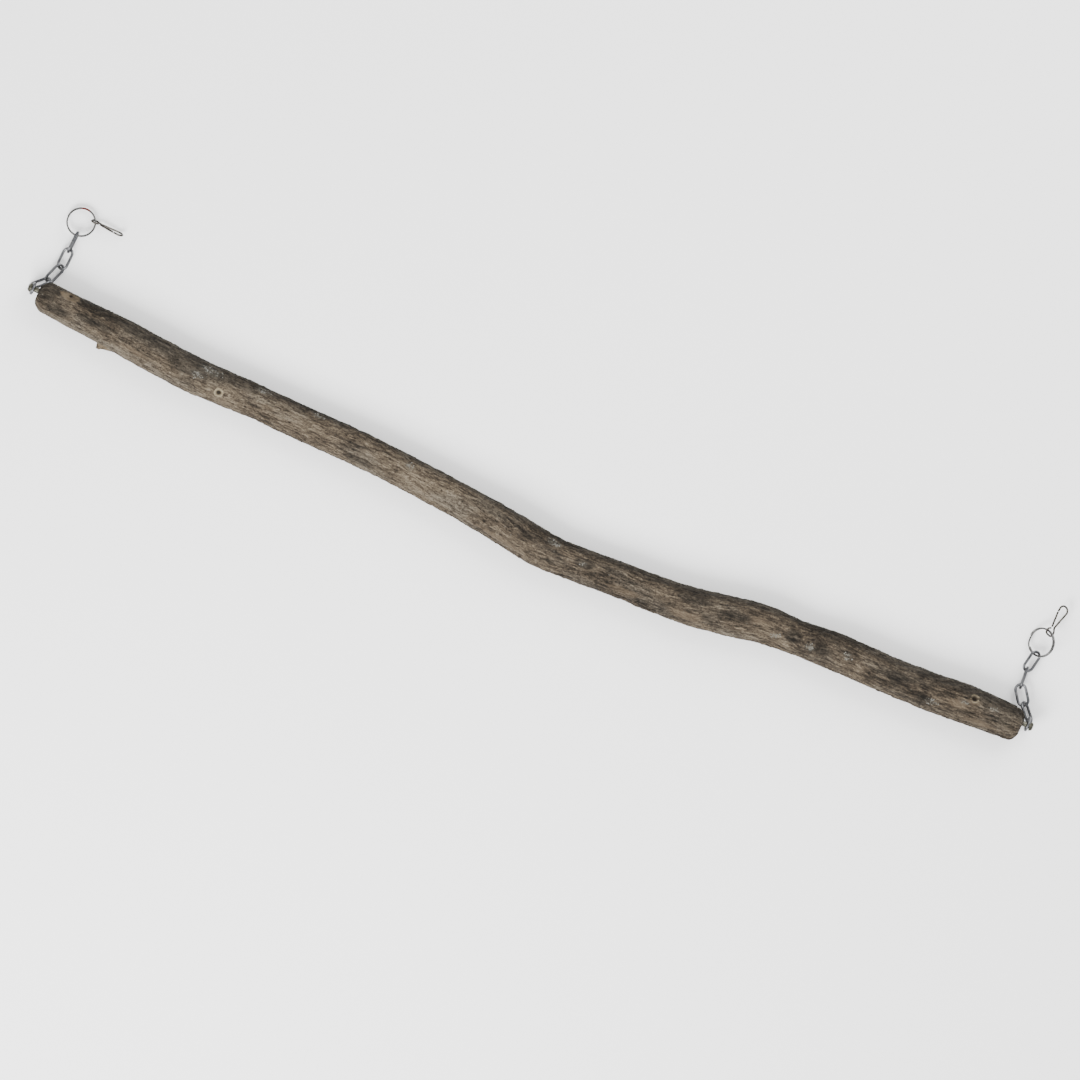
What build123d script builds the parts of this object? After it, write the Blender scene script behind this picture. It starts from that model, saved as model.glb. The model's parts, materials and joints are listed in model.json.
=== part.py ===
# Hanging bird perch: a crooked natural branch, with a screw, chain, split ring and snap hook at each end.
# Millimetres. The perch lies on a flat surface: +X runs along the branch, +Z is up, and both chains lie on
# the branch's +Y side. The origin is the middle of the outline on that surface.

import os
from math import cos, radians, sin

from build123d import *

os.makedirs("parts", exist_ok=True)

# Branch
branch_length = 1000.0  # from sawn end to sawn end
branch_diameter = 35.0  # typical thickness
branch_crook = 33.0  # how far the middle line strays sideways from the ends' line
end_lift = 5.0  # underside of the higher end above the surface
origin_aside = 28.7  # from the ends' line to the frame's origin, towards the chains
left_end_round = 12.0
right_end_round = 9.5
end_run = 50.0  # stretch at each end whose direction the rounded end follows

# Evenly spaced stations from the left end to the right: the stray, the thickness and the lift there, as
# shares of the sizes above
branch_stations = [
    (0.02, 0.89, 0.90),
    (0.13, 0.92, 0.50),
    (0.24, 1.00, 0.28),
    (0.37, 1.01, 0.20),
    (0.39, 0.97, 0.10),
    (0.40, 0.95, 0.02),
    (0.42, 0.95, 0.00),
    (0.46, 0.95, 0.08),
    (0.56, 0.96, 0.16),
    (0.69, 0.98, 0.20),
    (0.87, 1.05, 0.22),
    (0.98, 0.98, 0.22),
    (0.89, 0.98, 0.16),
    (0.83, 1.03, 0.06),
    (0.64, 1.11, 0.00),
    (0.40, 1.04, 0.06),
    (0.33, 1.01, 0.14),
    (0.31, 1.03, 0.20),
    (0.28, 1.05, 0.24),
    (0.19, 1.06, 0.30),
    (0.17, 0.94, 0.80),
]

# Stub of a broken twig on the branch's -Y side
spur_inset = 71.5  # from the left end to the stub's middle
spur_reach = 4.8
spur_base_diameter = 9.0
spur_tip_diameter = 4.5

# Flush-cut twig on the +Y shoulder near the left end
cut_inset = 30.0  # from the left end to the cut's middle
cut_angle = 44.0  # from straight up towards +Y
cut_length = 25.0
cut_width = 9.0
cut_proud = 0.6

# Wood screws in the end grain
shank_diameter = 5.0
thread_diameter = 4.6
pilot_diameter = 3.6
thread_depth = 35.0
tip_length = 6.0
head_standoff = 7.5  # from the wood to the head's underside
head_diameter = 8.4
head_height = 3.0
head_crown_diameter = 5.0
recess_length = 4.6
recess_width = 1.0
recess_depth = 1.6
left_screw_aside = 1.7  # from the end's middle towards +Y
right_screw_aside = 4.1

# Chain links
link_wire = 2.6
link_inner_length = 17.6
link_inner_width = 7.2
head_slack = 0.8  # from the screw's head to the first link
shank_slack = 0.4  # from the shank to the first link

# Split rings: two turns of wire joined by a crank
ring_outer_diameter = 28.0
ring_wire = 1.6
ring_turn_gap = 0.42
ring_crank_angle = 50.0  # part of a turn that the crank takes
ring_crank_ease = 0.75  # share of half the climb that is left midway to the crank's middle
ring_crank_place = 105.0  # from the far side of the ring, away from the link and the hook

# Points along a ring's wire for measuring the gap between its turns, and the least number of them between
# two that are compared, so that neighbours on one turn don't count
ring_points = 200
ring_points_apart = 70

# Snap hooks: an eye, a waist, a long arm and a round bow, bent from one wire, with sizes to the wire's middle
hook_wire = 1.8
hook_eye_length = 7.1
hook_eye_width = 8.0
hook_waist = 2.8
hook_length = 31.5
hook_bow_width = 10.4
hook_catch_reach = 7.9  # from the bow's front back to the catch
hook_eye_bend = 2.4
hook_waist_bend = 2.6
hook_bow_bend = 4.3
hook_end_round = 0.6  # rounding of the cut wire ends
gate_end_gap = 0.4
gate_root_gap = 0.2
ring_seat = 3.2  # from the eye's back to the middle of the ring's wire

# How each piece lies: heading and slope of its length, then the roll about it, in degrees, and for a link
# or a ring the free play where it hangs on the piece before it
left_first_link = (180, -84)
left_links = [(44, 4, -58, 0.5), (69, -1, 45, 0.5), (88, 2, -25, 0.5), (87, 0, 85, 0.5)]
left_ring = (97, -8, 0, 0.8)
left_hook = (-3, 4, 106)
left_hook_place = -72  # angle round the ring

right_first_link = (100, -78)
right_links = [(132, 4, 58, 0.5), (126, 2, -12, 0.5), (94, -1, 90, 0.6), (80, 3, 32, 0.6)]
right_ring = (92, 8, -33, 1.1)
right_hook = (80, -14, 30)
right_hook_place = -20

# Worked-out sizes
half_length = branch_length / 2
link_pitch = link_inner_length + link_wire
link_half_width = (link_inner_width + link_wire) / 2
ring_radius = (ring_outer_diameter - ring_wire) / 2
ring_rise = ring_wire + ring_turn_gap

pivots = {}


def save(builder, name):
    builder.part.label = name
    export_step(builder.part, f"parts/{name}.step")
    size = builder.part.bounding_box().size
    print(f"{name}: {builder.part.volume:.0f} mm3, {size.X:.1f} x {size.Y:.1f} x {size.Z:.1f} mm")


def add_pivot(name, point, axis):
    pivots[name] = (point, axis)
    print(f"{name} turns at ({point.X:.2f}, {point.Y:.2f}, {point.Z:.2f})")


def branch_middle(place):
    """Middle point and radius of the branch at a place, from -1 at the left end to 1 at the right end."""
    steps = len(branch_stations) - 1
    position = (place + 1) / 2 * steps
    before = max(0, min(int(position), steps - 1))
    share = position - before
    pairs = zip(branch_stations[before], branch_stations[before + 1])
    stray, girth, lift = (near + share * (far - near) for near, far in pairs)
    radius = girth * branch_diameter / 2
    middle = Vector(place * half_length, -stray * branch_crook - origin_aside, lift * end_lift + radius)
    return middle, radius


def lying(start, heading, slope, roll):
    """Plane with local x along a piece that points to a heading and slope, rolled about its length."""
    level = Vector(cos(radians(heading)), sin(radians(heading)), 0)
    along = level * cos(radians(slope)) + Vector(0, 0, 1) * sin(radians(slope))
    across = Vector(-level.Y, level.X, 0).rotate(Axis((0, 0, 0), along), roll)
    return Plane(origin=start, x_dir=along, z_dir=along.cross(across))


def hung(parent_end, parent, pose, reach):
    """Plane of a piece that is looped through the end of the piece before it, reach between wire middles."""
    plane = lying(parent_end, *pose)
    pull = parent.y_dir.cross(plane.y_dir).normalized()
    if pull.dot(plane.x_dir + parent.x_dir) < 0:
        pull = -pull
    return Plane(origin=parent_end - pull * reach, x_dir=plane.x_dir, z_dir=plane.z_dir)


# Branch: circles at the stations joined by a smooth skin that runs past both ends, sawn to length, with the
# ends rounded and a pilot hole in each
left_end = branch_middle(-1)[0]
right_end = branch_middle(1)[0]
left_seat = left_end + Vector(0, left_screw_aside, 0)
right_seat = right_end + Vector(0, right_screw_aside, 0)

with BuildPart() as branch:
    for station in range(-1, len(branch_stations) + 1):
        middle, radius = branch_middle(2 * station / (len(branch_stations) - 1) - 1)
        with BuildSketch(Plane(origin=middle, x_dir=(0, 1, 0), z_dir=(1, 0, 0))):
            Circle(radius)
    loft()
    split(bisect_by=Plane.YZ.offset(-half_length), keep=Keep.TOP)
    split(bisect_by=Plane.YZ.offset(half_length), keep=Keep.BOTTOM)
    for end, rounding in ((-1, left_end_round), (1, right_end_round)):
        middle, radius = branch_middle(end)
        outward = (middle - branch_middle(end * (1 - end_run / half_length))[0]).normalized()
        flat = radius - rounding
        with BuildSketch(Plane(origin=middle, x_dir=outward, z_dir=outward.cross(Vector(0, 0, 1)))):
            with BuildLine():
                CenterArc((-rounding, flat), rounding, start_angle=0, arc_size=90)
                Polyline(
                    (0, flat),
                    (rounding, flat),
                    (rounding, 2 * radius),
                    (-2 * radius, 2 * radius),
                    (-rounding, radius),
                )
            make_face()
        revolve(axis=Axis(middle, outward), mode=Mode.SUBTRACT)

    spur_middle, spur_radius = branch_middle(spur_inset / half_length - 1)
    with Locations(Plane(origin=spur_middle, z_dir=(0, -1, 0))):
        Cone(
            spur_base_diameter / 2,
            spur_tip_diameter / 2,
            spur_radius + spur_reach,
            align=(Align.CENTER, Align.CENTER, Align.MIN),
        )

    cut_middle, cut_radius = branch_middle(cut_inset / half_length - 1)
    cut_out = Vector(0, sin(radians(cut_angle)), cos(radians(cut_angle)))
    with BuildSketch(Plane(origin=cut_middle, x_dir=(1, 0, 0), z_dir=cut_out)):
        Ellipse(cut_length / 2, cut_width / 2)
    extrude(amount=cut_radius + cut_proud)

    for seat, outward in ((left_seat, -1), (right_seat, 1)):
        with BuildSketch(Plane(origin=seat, z_dir=(outward, 0, 0))):
            Circle(pilot_diameter / 2)
        extrude(amount=-thread_depth, mode=Mode.SUBTRACT)
save(branch, "branch")


# Screws: a turned shape about the branch's length, with a crossed recess in the crown
def make_screw(name, seat, outward):
    lengthwise = Plane(origin=seat, x_dir=(outward, 0, 0), z_dir=(0, -outward, 0))
    head_top = head_standoff + head_height
    with BuildPart() as screw:
        with BuildSketch(lengthwise):
            with BuildLine():
                Polyline(
                    (head_top, head_crown_diameter / 2),
                    (head_top, 0),
                    (-thread_depth, 0),
                    (tip_length - thread_depth, thread_diameter / 2),
                    (0, thread_diameter / 2),
                    (0, shank_diameter / 2),
                    (head_standoff, shank_diameter / 2),
                    (head_standoff, head_diameter / 2),
                )
                RadiusArc(
                    (head_standoff, head_diameter / 2),
                    (head_top, head_crown_diameter / 2),
                    head_height,
                )
            make_face()
        revolve(axis=Axis(seat, (outward, 0, 0)))
        crown = Plane(origin=seat + Vector(outward * head_top, 0, 0), z_dir=(outward, 0, 0))
        with BuildSketch(crown):
            Rectangle(recess_length, recess_width)
            Rectangle(recess_width, recess_length)
        extrude(amount=-recess_depth, mode=Mode.SUBTRACT)
    save(screw, name)


# Links: round wire bent to an oval, local x from the near bend to the far one
def make_link(name, plane):
    far_bend = link_pitch - link_half_width
    with BuildPart() as link:
        with BuildLine(plane):
            side = Line((link_half_width, link_half_width), (far_bend, link_half_width))
            ThreePointArc((far_bend, link_half_width), (link_pitch, 0), (far_bend, -link_half_width))
            Line((far_bend, -link_half_width), (link_half_width, -link_half_width))
            ThreePointArc((link_half_width, -link_half_width), (0, 0), (link_half_width, link_half_width))
        with BuildSketch(Plane(origin=side @ 0, z_dir=plane.x_dir)):
            Circle(link_wire / 2)
        sweep()
    save(link, name)


# Split rings: a lower turn, a crank that climbs by one wire, and an upper turn, about local z
def make_ring(name, plane):
    def on_ring(angle, height):
        turn = radians(angle + ring_crank_place)
        return (ring_radius * cos(turn), ring_radius * sin(turn), height)

    crank = ring_crank_angle / 2
    low = -ring_rise / 2
    high = ring_rise / 2
    with BuildPart() as ring:
        with BuildLine(plane) as turns:
            start = ThreePointArc(on_ring(crank, low), on_ring(90, low), on_ring(180, low))
            ThreePointArc(on_ring(180, low), on_ring(270, low), on_ring(-crank, low))
            ThreePointArc(on_ring(-crank, low), on_ring(-crank / 2, low * ring_crank_ease), on_ring(0, 0))
            ThreePointArc(on_ring(0, 0), on_ring(crank / 2, high * ring_crank_ease), on_ring(crank, high))
            ThreePointArc(on_ring(crank, high), on_ring(90, high), on_ring(180, high))
            ThreePointArc(on_ring(180, high), on_ring(270, high), on_ring(-crank, high))
        with BuildSketch(Plane(origin=start @ 0, z_dir=start % 0)):
            Circle(ring_wire / 2)
        sweep()
    spots = [turns.wires()[0] @ (step / ring_points) for step in range(ring_points + 1)]
    lags = range(ring_points_apart, ring_points + 1)
    spans = ((a - b).length for lag in lags for a, b in zip(spots, spots[lag:]))
    print(f"{name}: its turns lie {min(spans) - ring_wire:.2f} mm apart or more")
    save(ring, name)


# Hooks: local x from the eye's back to the bow's front, local y across, with the gate's mouth on the +y side
def make_hook(name, plane):
    eye = hook_eye_width / 2
    bow = hook_bow_width / 2
    waist = hook_waist / 2
    shoulder = hook_eye_length - hook_eye_bend
    with BuildPart() as hook:
        with BuildLine(plane) as wire:
            FilletPolyline(
                (hook_eye_length, waist),
                (shoulder, eye),
                (0, eye),
                (0, -eye),
                (shoulder, -eye),
                (hook_eye_length + hook_wire, -waist),
                (hook_length, -bow),
                (hook_length, bow),
                (hook_length - hook_catch_reach, bow - gate_end_gap),
                radius=[hook_eye_bend] * 4 + [hook_waist_bend] + [hook_bow_bend] * 2,
            )
        start = wire.wires()[0]
        with BuildSketch(Plane(origin=start @ 0, z_dir=start % 0)):
            Circle(hook_wire / 2)
        sweep()
        fillet(hook.faces().filter_by(GeomType.PLANE).edges(), hook_end_round)
    save(hook, name)


# Gates: a straight springy arm that closes the bow's mouth from the waist to the catch
def make_gate(name, plane):
    root_place = hook_eye_length + hook_wire / 2 + gate_root_gap
    tip_place = hook_length - hook_catch_reach - gate_end_gap
    root = plane.from_local_coords((root_place, hook_waist / 2, 0))
    tip = plane.from_local_coords((tip_place, hook_bow_width / 2 - gate_end_gap, 0))
    with BuildPart() as gate:
        with BuildSketch(Plane(origin=root, z_dir=tip - root)):
            Circle(hook_wire / 2)
        extrude(amount=(tip - root).length)
        fillet(gate.faces().filter_by(GeomType.PLANE).edges(), hook_end_round)
    add_pivot(name, root, -plane.z_dir)
    save(gate, name)


# Chains: each piece is hung on the one before it, from the screw's bare shank to the hook's gate
def make_chain(side, outward, seat, first_link, links, ring, hook, hook_place):
    hanger = seat + Vector(outward * (head_standoff - head_slack - link_wire / 2), 0, 0)
    along = lying(hanger, *first_link, 0).x_dir
    across = Vector(1, 0, 0).cross(along).normalized()
    down = Vector(0, along.Y, along.Z).normalized()
    start = hanger - down * ((shank_diameter + link_wire) / 2 + shank_slack)
    plane = Plane(origin=start, x_dir=along, z_dir=along.cross(across))
    add_pivot(f"{side}_link_1", hanger, Vector(1, 0, 0))
    make_link(f"{side}_link_1", plane)

    for number, (heading, slope, roll, play) in enumerate(links, start=2):
        link_end = plane.from_local_coords((link_pitch, 0, 0))
        add_pivot(f"{side}_link_{number}", link_end, plane.y_dir)
        plane = hung(link_end, plane, (heading, slope, roll), link_wire + play)
        make_link(f"{side}_link_{number}", plane)

    link_end = plane.from_local_coords((link_pitch, 0, 0))
    add_pivot(f"{side}_split_ring", link_end, plane.y_dir)
    heading, slope, roll, play = ring
    plane = hung(link_end, plane, (heading, slope, roll), (link_wire + ring_wire) / 2 + play)
    plane.origin = plane.from_local_coords((ring_radius, 0, 0))
    make_ring(f"{side}_split_ring", plane)

    spoke = plane.x_dir.rotate(Axis((0, 0, 0), plane.z_dir), hook_place)
    on_wire = plane.origin + spoke * ring_radius
    add_pivot(f"{side}_snap_hook", on_wire, plane.z_dir.cross(spoke))
    plane = lying(on_wire, *hook)
    plane.origin = plane.from_local_coords((-ring_seat, 0, 0))
    make_hook(f"{side}_snap_hook", plane)
    make_gate(f"{side}_hook_gate", plane)


make_screw("left_screw", left_seat, -1)
make_screw("right_screw", right_seat, 1)
make_chain("left", -1, left_seat, left_first_link, left_links, left_ring, left_hook, left_hook_place)
make_chain("right", 1, right_seat, right_first_link, right_links, right_ring, right_hook, right_hook_place)
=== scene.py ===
# %% [markdown]
# A hanging bird perch: a crooked natural branch with its bark on, and at each end a screw, a short chain, a
# split ring and a snap hook. The metal pieces come from the CAD model and only need finishes. The branch in
# the CAD model is a smooth solid, so its bark is built here, on the same shape and in the same place.

# %% Load the CAD model
import json
import math

import bmesh
import bpy
import numpy as np
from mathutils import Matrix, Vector
from mathutils.bvhtree import BVHTree

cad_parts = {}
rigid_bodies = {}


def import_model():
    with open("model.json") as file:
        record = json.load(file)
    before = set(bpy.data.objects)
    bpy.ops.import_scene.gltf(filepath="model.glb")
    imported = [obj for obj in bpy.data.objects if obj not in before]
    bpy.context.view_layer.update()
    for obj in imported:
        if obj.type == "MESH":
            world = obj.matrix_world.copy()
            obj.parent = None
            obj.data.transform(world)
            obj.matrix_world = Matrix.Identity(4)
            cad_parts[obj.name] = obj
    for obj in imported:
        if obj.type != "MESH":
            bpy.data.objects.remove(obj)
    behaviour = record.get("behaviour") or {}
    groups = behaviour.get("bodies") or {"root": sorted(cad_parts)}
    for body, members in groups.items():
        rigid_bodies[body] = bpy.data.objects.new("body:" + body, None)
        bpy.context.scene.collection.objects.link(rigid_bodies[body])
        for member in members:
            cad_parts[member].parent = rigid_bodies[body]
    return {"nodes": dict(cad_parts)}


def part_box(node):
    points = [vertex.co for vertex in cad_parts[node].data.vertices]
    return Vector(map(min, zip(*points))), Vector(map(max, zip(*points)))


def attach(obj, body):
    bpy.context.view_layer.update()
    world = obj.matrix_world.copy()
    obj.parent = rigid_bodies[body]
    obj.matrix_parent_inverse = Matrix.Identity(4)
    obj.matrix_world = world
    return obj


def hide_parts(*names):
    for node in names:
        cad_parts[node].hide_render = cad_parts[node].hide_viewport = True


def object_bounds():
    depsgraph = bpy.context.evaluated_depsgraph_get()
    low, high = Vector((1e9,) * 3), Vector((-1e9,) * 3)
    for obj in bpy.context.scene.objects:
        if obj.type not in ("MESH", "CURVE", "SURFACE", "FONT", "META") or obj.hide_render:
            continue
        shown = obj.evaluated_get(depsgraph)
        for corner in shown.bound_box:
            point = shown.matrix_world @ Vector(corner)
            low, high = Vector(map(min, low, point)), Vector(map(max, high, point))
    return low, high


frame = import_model()
cad_box = [list(corner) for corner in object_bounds()]
scene = bpy.context.scene
strays = [thing for thing in scene.objects if thing.type in ("CAMERA", "LIGHT") or thing.name == "Cube"]
for stray in strays:
    bpy.data.objects.remove(stray)
print("CAD box", cad_box)

# %% [markdown]
# The perch is photographed from straight above, lying on a flat surface with the branch sloping down to the
# right. A long lens from high up keeps the view almost free of perspective. The camera looks straight down
# by itself, so it only has to be turned about the vertical.

# %% Camera
view_turn = math.radians(23.57)
view_middle = (0.0203, -0.0536)
view_width = 1.0055
camera_height = 8.0
branch_level = 0.02

camera_data = bpy.data.cameras.new("camera")
camera_data.sensor_width = 36.0
camera_data.lens = camera_data.sensor_width * camera_height / view_width
camera = bpy.data.objects.new("camera", camera_data)
camera.location = (*view_middle, camera_height + branch_level)
camera.rotation_euler = (0.0, 0.0, view_turn)
scene.collection.objects.link(camera)
scene.camera = camera
print(f"lens {camera_data.lens:.1f} mm")

# %% [markdown]
# The floor is a plain pale sheet. It lies a hair below the CAD model, because the ridges of the bark reach
# a little lower than the smooth solid does.

# %% Floor
floor_half = 6.0
floor_gap = 0.0004
floor_colour = (0.95, 0.95, 0.947, 1.0)
floor_roughness = 0.9

floor_signs = [(-1, -1), (1, -1), (1, 1), (-1, 1)]
floor_mesh = bpy.data.meshes.new("floor")
floor_mesh.from_pydata([(x * floor_half, y * floor_half, 0) for x, y in floor_signs], [], [(0, 1, 2, 3)])
floor = bpy.data.objects.new("floor", floor_mesh)
floor.location.z = cad_box[0][2] - floor_gap
scene.collection.objects.link(floor)

floor_paint = bpy.data.materials.new("floor_paint")
floor_paint.use_nodes = True
floor_shader = floor_paint.node_tree.nodes["Principled BSDF"]
floor_shader.inputs["Base Color"].default_value = floor_colour
floor_shader.inputs["Roughness"].default_value = floor_roughness
floor_mesh.materials.append(floor_paint)
print(f"floor at {floor.location.z:.5f} m")

# %% [markdown]
# Soft light comes from a large panel on the side of the branch away from the chains, because in the
# photograph that side is lighter. A weaker panel opposite opens the shadows. The sky is bright overhead and
# greyer at the horizon, which gives the bent wire something light and something dark to reflect.


# %% Light
def light_panel(name, place, size, power):
    data = bpy.data.lights.new(name, "AREA")
    data.size = size
    data.energy = power
    panel = bpy.data.objects.new(name, data)
    panel.location = place
    panel.rotation_euler = (-Vector(place)).to_track_quat("-Z", "Y").to_euler()
    scene.collection.objects.link(panel)


light_panel("key_panel", place=(-0.35, -1.5, 1.7), size=1.2, power=105.0)
light_panel("fill_panel", place=(0.6, 1.6, 1.5), size=1.6, power=52.0)

sky_strength = 1.6
sky_stops = [(0.05, (0.30, 0.30, 0.31, 1.0)), (0.75, (1.0, 1.0, 1.0, 1.0))]

world = bpy.data.worlds.new("studio")
scene.world = world
world.use_nodes = True
sky = world.node_tree
sky_light = sky.nodes["Background"]
sky_light.inputs["Strength"].default_value = sky_strength
sky_place = sky.nodes.new("ShaderNodeTexCoord")
sky_height = sky.nodes.new("ShaderNodeSeparateXYZ")
sky_ramp = sky.nodes.new("ShaderNodeValToRGB")
for element, (position, colour) in zip(sky_ramp.color_ramp.elements, sky_stops):
    element.position = position
    element.color = colour
sky.links.new(sky_place.outputs["Generated"], sky_height.inputs[0])
sky.links.new(sky_height.outputs["Z"], sky_ramp.inputs[0])
sky.links.new(sky_ramp.outputs[0], sky_light.inputs["Color"])
print("two light panels and a sky")

# %% [markdown]
# Node trees for shapes and for finishes are written with the same few helpers. A helper takes numbers or
# sockets alike: a number is set on the socket, and a socket is linked to it.


# %% Helpers for node trees
def feed(tree, socket, value):
    if isinstance(value, bpy.types.NodeSocket):
        tree.links.new(value, socket)
    else:
        socket.default_value = value


def add(tree, kind, inputs=None, **settings):
    node = tree.nodes.new(kind)
    for name, value in settings.items():
        setattr(node, name, value)
    for key, value in (inputs or {}).items():
        feed(tree, node.inputs[key], value)
    return node


def shown(node):
    """The one output that a node shows, where its kind of data decides which one that is."""
    return next(socket for socket in node.outputs if socket.enabled)


def number(tree, operation, first, second=0.0, clamp=False):
    node = add(tree, "ShaderNodeMath", {0: first, 1: second}, operation=operation, use_clamp=clamp)
    return node.outputs[0]


def vector(tree, operation, first, second):
    node = add(tree, "ShaderNodeVectorMath", {0: first, 1: second}, operation=operation)
    return node.outputs[0]


def spread(tree, value, low, high, to_low=0.0, to_high=1.0):
    """A soft step from one value to another."""
    inputs = {0: value, 1: low, 2: high, 3: to_low, 4: to_high}
    return add(tree, "ShaderNodeMapRange", inputs, interpolation_type="SMOOTHSTEP").outputs[0]


def noise(tree, place, scale, detail=2.0, roughness=0.5, output=0):
    inputs = {"Vector": place, "Scale": scale, "Detail": detail, "Roughness": roughness}
    return add(tree, "ShaderNodeTexNoise", inputs).outputs[output]


def sway(tree, place, scale):
    """A noise in three directions, to both sides of nought."""
    return vector(tree, "SUBTRACT", noise(tree, place, scale, output=1), (0.5, 0.5, 0.5))


print("helpers for numbers, vectors and noise")

# %% [markdown]
# Colours are written as they look on a screen, because that is how they are read from a photograph. A
# shader takes linear numbers, and the studio light is strong, so each colour is turned into those and set
# darker.

# %% Helpers for finishes
light_share = 0.285  # how much darker a surface is set than it looks


def seen_colour(red, green, blue):
    """A colour as it looks on a screen, from 0 to 255, in the linear numbers that a shader takes."""
    parts = []
    for part in (red, green, blue):
        share = part / 255
        linear = share / 12.92 if share <= 0.04045 else ((share + 0.055) / 1.055) ** 2.4
        parts.append(linear * light_share)
    return (*parts, 1.0)


def blend_colour(tree, share, first, second):
    node = add(tree, "ShaderNodeMix", data_type="RGBA", blend_type="MIX")
    for index, value in ((0, share), (6, first), (7, second)):
        feed(tree, node.inputs[index], value)
    return node.outputs[2]


def colour_ramp(tree, value, *stops):
    """A ramp of seen colours. A stop is its position and its red, green and blue."""
    node = add(tree, "ShaderNodeValToRGB", {0: value})
    elements = node.color_ramp.elements
    while len(elements) < len(stops):
        elements.new(1.0)
    for element, (position, *shade) in zip(elements, stops):
        element.position = position
        element.color = seen_colour(*shade)
    return node.outputs[0]


def new_finish(name):
    finish = bpy.data.materials.new(name)
    finish.use_nodes = True
    return finish, finish.node_tree, finish.node_tree.nodes["Principled BSDF"]


print("helpers for colours")

# %% [markdown]
# The bark has to follow the CAD branch exactly, so the branch is measured. Rays from both sides and from
# above and below find the middle line. A ray can meet the stub of a twig, so a median drops what stands
# out, and a short smoothing takes the facets away.

# %% Branch: measure the middle line
cad_branch = frame["nodes"]["branch"].data
branch_tree = BVHTree.FromPolygons(
    [tuple(vertex.co) for vertex in cad_branch.vertices],
    [tuple(polygon.vertices) for polygon in cad_branch.polygons],
)
branch_low, branch_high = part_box("branch")
half_length = 0.5
far_away = 0.2
first_height = 0.018  # a height that is inside the wood everywhere, to start from
measure_end = 0.485
measure_count = 98
half_window = 2


def side_hit(start, direction):
    return branch_tree.ray_cast(Vector(start), Vector(direction))[0]


def measure_middle(x):
    y = (branch_low.y + branch_high.y) / 2
    z = first_height
    for _ in range(2):
        left = side_hit((x, branch_low.y - far_away, z), (0, 1, 0))
        right = side_hit((x, branch_high.y + far_away, z), (0, -1, 0))
        if left and right:
            y = (left.y + right.y) / 2
        under = side_hit((x, y, branch_low.z - far_away), (0, 0, 1))
        over = side_hit((x, y, branch_high.z + far_away), (0, 0, -1))
        if under and over:
            z = (under.z + over.z) / 2
    return y, z


def smoothed(values, width):
    kernel = np.exp(-np.linspace(-2, 2, 2 * width + 1) ** 2)
    padded = np.pad(values, width, mode="reflect", reflect_type="odd")
    return np.convolve(padded, kernel / kernel.sum(), mode="valid")


measure_x = np.linspace(-measure_end, measure_end, measure_count)
measured = np.array([measure_middle(x) for x in measure_x])
padded_measure = np.pad(measured, ((half_window, half_window), (0, 0)), mode="edge")
shifted = [padded_measure[i : i + measure_count] for i in range(2 * half_window + 1)]
steady = np.median(shifted, axis=0)
middle_y_line = smoothed(steady[:, 0], half_window)
middle_z_line = smoothed(steady[:, 1], half_window)


def middle_at(x):
    return np.interp(x, measure_x, middle_y_line), np.interp(x, measure_x, middle_z_line)


print(f"middle line strays from {middle_y_line.min():.4f} to {middle_y_line.max():.4f} m")

# %% [markdown]
# The skin is a grid of rows along the branch and columns round it. Rows lie closer together at the knots
# and on the rounded ends, where the shape changes fast. Bark runs lengthwise, so columns are closer than
# rows.

# %% Branch: rows and columns of the skin
columns = 160
rows = 596
end_rows = 11
left_round = 0.012
right_round = 0.0095
knot_places = [-0.4705, -0.4245, -0.3083, 0.2870, 0.4495]
knot_window = 0.011
knot_crowding = 1.3
fine_steps = 4000

row_line = np.linspace(-half_length + left_round, half_length - right_round, fine_steps)
density = np.ones_like(row_line)
for knot_x in knot_places:
    density += knot_crowding * np.exp(-(((row_line - knot_x) / knot_window) ** 4))
density_sum = np.concatenate([[0], np.cumsum((density[1:] + density[:-1]) / 2)])
end_angles = np.radians(np.linspace(6, 84, end_rows))
left_rows = -half_length + left_round * (1 - np.cos(end_angles))
right_rows = half_length - right_round * (1 - np.cos(end_angles))[::-1]
even_steps = np.linspace(0, density_sum[-1], rows - 2 * end_rows)
body_rows = np.interp(even_steps, density_sum, row_line)
row_x = np.concatenate([left_rows, body_rows, right_rows])
row_y, row_z = middle_at(row_x)
angles = np.linspace(-math.pi, math.pi, columns, endpoint=False)
print(f"{rows} rows and {columns} columns")

# %% [markdown]
# At each grid point a ray comes in from outside and finds how far the surface is from the middle line. The
# CAD mesh has flat facets, so the distances are smoothed round the branch by keeping only their slow waves.
# The broken twig stands out of the round. It is held back while the round is found, and then put back.

# %% Branch: distance from the middle line to the CAD surface
facet_depth = 0.0003
smooth_waves = 7
margins = (0.0012, 0.0008, facet_depth, facet_depth)  # how far from the round a distance may be, in each pass
# The relief goes out as well as in, and the bark should not look thicker than the wood
bark_inset = 0.0004

reach = np.zeros((rows, columns))
for i in range(rows):
    for j in range(columns):
        out = Vector((0, math.sin(angles[j]), math.cos(angles[j])))
        middle = Vector((row_x[i], row_y[i], row_z[i]))
        spot = side_hit(middle + out * far_away, -out)
        reach[i, j] = (spot - middle).dot(out) if spot else 0.0


def smoothed_round(distances):
    harmonics = np.fft.rfft(distances, axis=1)
    harmonics[:, smooth_waves:] = 0
    return np.fft.irfft(harmonics, columns, axis=1)


rounded = np.repeat(np.median(reach, axis=1, keepdims=True), columns, axis=1)
for margin in margins:
    rounded = smoothed_round(np.clip(reach, rounded - margin, rounded + margin))
raised = np.maximum(reach - rounded - facet_depth, 0)
skin_reach = rounded + raised - bark_inset
branch_radius = np.median(rounded, axis=1)
body_radius = branch_radius[end_rows + 1 : -end_rows - 1]
print(f"branch radius from {body_radius.min():.4f} to {body_radius.max():.4f} m")

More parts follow.
